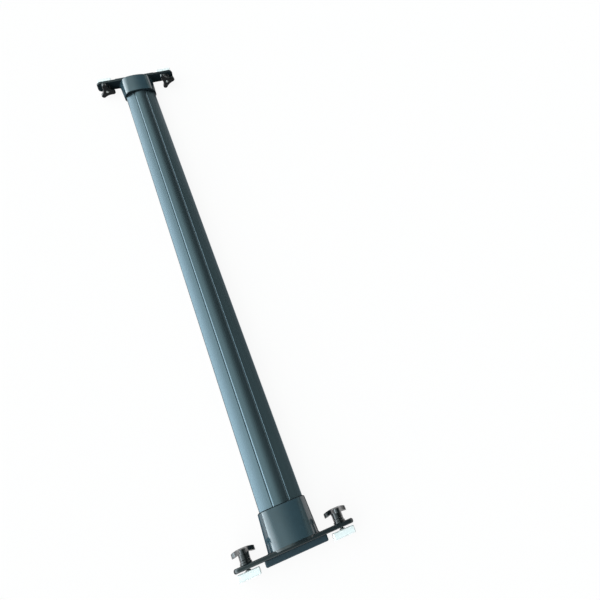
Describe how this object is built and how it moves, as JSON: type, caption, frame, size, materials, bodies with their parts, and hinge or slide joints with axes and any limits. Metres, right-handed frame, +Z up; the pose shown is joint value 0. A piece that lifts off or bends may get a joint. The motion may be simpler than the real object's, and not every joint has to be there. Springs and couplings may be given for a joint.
{
  "type": "roof rack crossbar",
  "caption": "Domed aluminium roof rack crossbar with moulded end feet, star knobs and swivelling rail blocks that clamp to a car's side rails.",
  "frame": {"origin": "below the middle of the bar, on the surface that it rests on, which its lowest knob lobe touches", "axes": "+X along the bar to its right end, +Y along the car towards its front, +Z up through the domed top"},
  "size_m": [1.1646, 0.1901, 0.0391],
  "materials": {
    "bar": "satin dark grey powder coat",
    "foot": "satin moulded glass-filled nylon",
    "pad": "fine matt texture",
    "knob": "semi-gloss moulded plastic",
    "insert": "turned",
    "zinc": "bright zinc plate",
    "steel": "plain zinc plate"
  },
  "bodies": {
    "crossbar": {"bar_extrusion": "bar", "right_foot": "foot", "right_rail_pad": "pad", "right_nut_plate": "steel", "right_foot_screws": "zinc", "left_foot": "foot", "left_rail_pad": "pad", "left_nut_plate": "steel", "left_foot_screws": "zinc", "right_rear_bush": "knob", "right_front_bush": "knob", "left_rear_bush": "knob", "left_front_bush": "knob"},
    "right_rear_knob": {"right_rear_knob": "knob", "right_rear_knob_insert": "insert"},
    "right_rear_stud": {"right_rear_stud": "zinc"},
    "right_rear_rail_block": {"right_rear_rail_block": "zinc"},
    "right_front_knob": {"right_front_knob": "knob", "right_front_knob_insert": "insert"},
    "right_front_stud": {"right_front_stud": "zinc"},
    "right_front_rail_block": {"right_front_rail_block": "zinc"},
    "left_rear_knob": {"left_rear_knob": "knob", "left_rear_knob_insert": "insert"},
    "left_rear_stud": {"left_rear_stud": "zinc"},
    "left_rear_rail_block": {"left_rear_rail_block": "zinc"},
    "left_front_knob": {"left_front_knob": "knob", "left_front_knob_insert": "insert"},
    "left_front_stud": {"left_front_stud": "zinc"},
    "left_front_rail_block": {"left_front_rail_block": "zinc"}
  },
  "joints": [
    {"name": "right_rear_knob_turn", "type": "hinge", "parent": "crossbar", "child": "right_rear_knob", "pos_m": [0.569, -0.075, 0.0189], "axis": [1, 0, 0], "range_deg": [-2881, 613]},
    {"name": "right_rear_stud_draw", "type": "slide", "parent": "crossbar", "child": "right_rear_stud", "axis": [-1, 0, 0], "range_m": [-0.008, 0.0017]},
    {"name": "right_rear_block_swivel", "type": "hinge", "parent": "right_rear_stud", "child": "right_rear_rail_block", "pos_m": [0.569, -0.075, 0.0189], "axis": [1, 0, 0], "continuous": true},
    {"name": "right_front_knob_turn", "type": "hinge", "parent": "crossbar", "child": "right_front_knob", "pos_m": [0.569, 0.075, 0.0189], "axis": [1, 0, 0], "range_deg": [-2593, 901]},
    {"name": "right_front_stud_draw", "type": "slide", "parent": "crossbar", "child": "right_front_stud", "axis": [-1, 0, 0], "range_m": [-0.0072, 0.0025]},
    {"name": "right_front_block_swivel", "type": "hinge", "parent": "right_front_stud", "child": "right_front_rail_block", "pos_m": [0.569, 0.075, 0.0189], "axis": [1, 0, 0], "continuous": true},
    {"name": "left_rear_knob_turn", "type": "hinge", "parent": "crossbar", "child": "left_rear_knob", "pos_m": [-0.569, -0.075, 0.0189], "axis": [-1, 0, 0], "range_deg": [-2593, 901]},
    {"name": "left_rear_stud_draw", "type": "slide", "parent": "crossbar", "child": "left_rear_stud", "axis": [1, 0, 0], "range_m": [-0.0072, 0.0025]},
    {"name": "left_rear_block_swivel", "type": "hinge", "parent": "left_rear_stud", "child": "left_rear_rail_block", "pos_m": [-0.569, -0.075, 0.0189], "axis": [-1, 0, 0], "continuous": true},
    {"name": "left_front_knob_turn", "type": "hinge", "parent": "crossbar", "child": "left_front_knob", "pos_m": [-0.569, 0.075, 0.0189], "axis": [-1, 0, 0], "range_deg": [-2881, 613]},
    {"name": "left_front_stud_draw", "type": "slide", "parent": "crossbar", "child": "left_front_stud", "axis": [1, 0, 0], "range_m": [-0.008, 0.0017]},
    {"name": "left_front_block_swivel", "type": "hinge", "parent": "left_front_stud", "child": "left_front_rail_block", "pos_m": [-0.569, 0.075, 0.0189], "axis": [-1, 0, 0], "continuous": true}
  ],
  "couplings": [
    {"joint": "right_rear_knob_turn", "follows": "right_rear_stud_draw", "rad_per_m": 6283.2},
    {"joint": "right_front_knob_turn", "follows": "right_front_stud_draw", "rad_per_m": 6283.2},
    {"joint": "left_rear_knob_turn", "follows": "left_rear_stud_draw", "rad_per_m": 6283.2},
    {"joint": "left_front_knob_turn", "follows": "left_front_stud_draw", "rad_per_m": 6283.2}
  ]
}
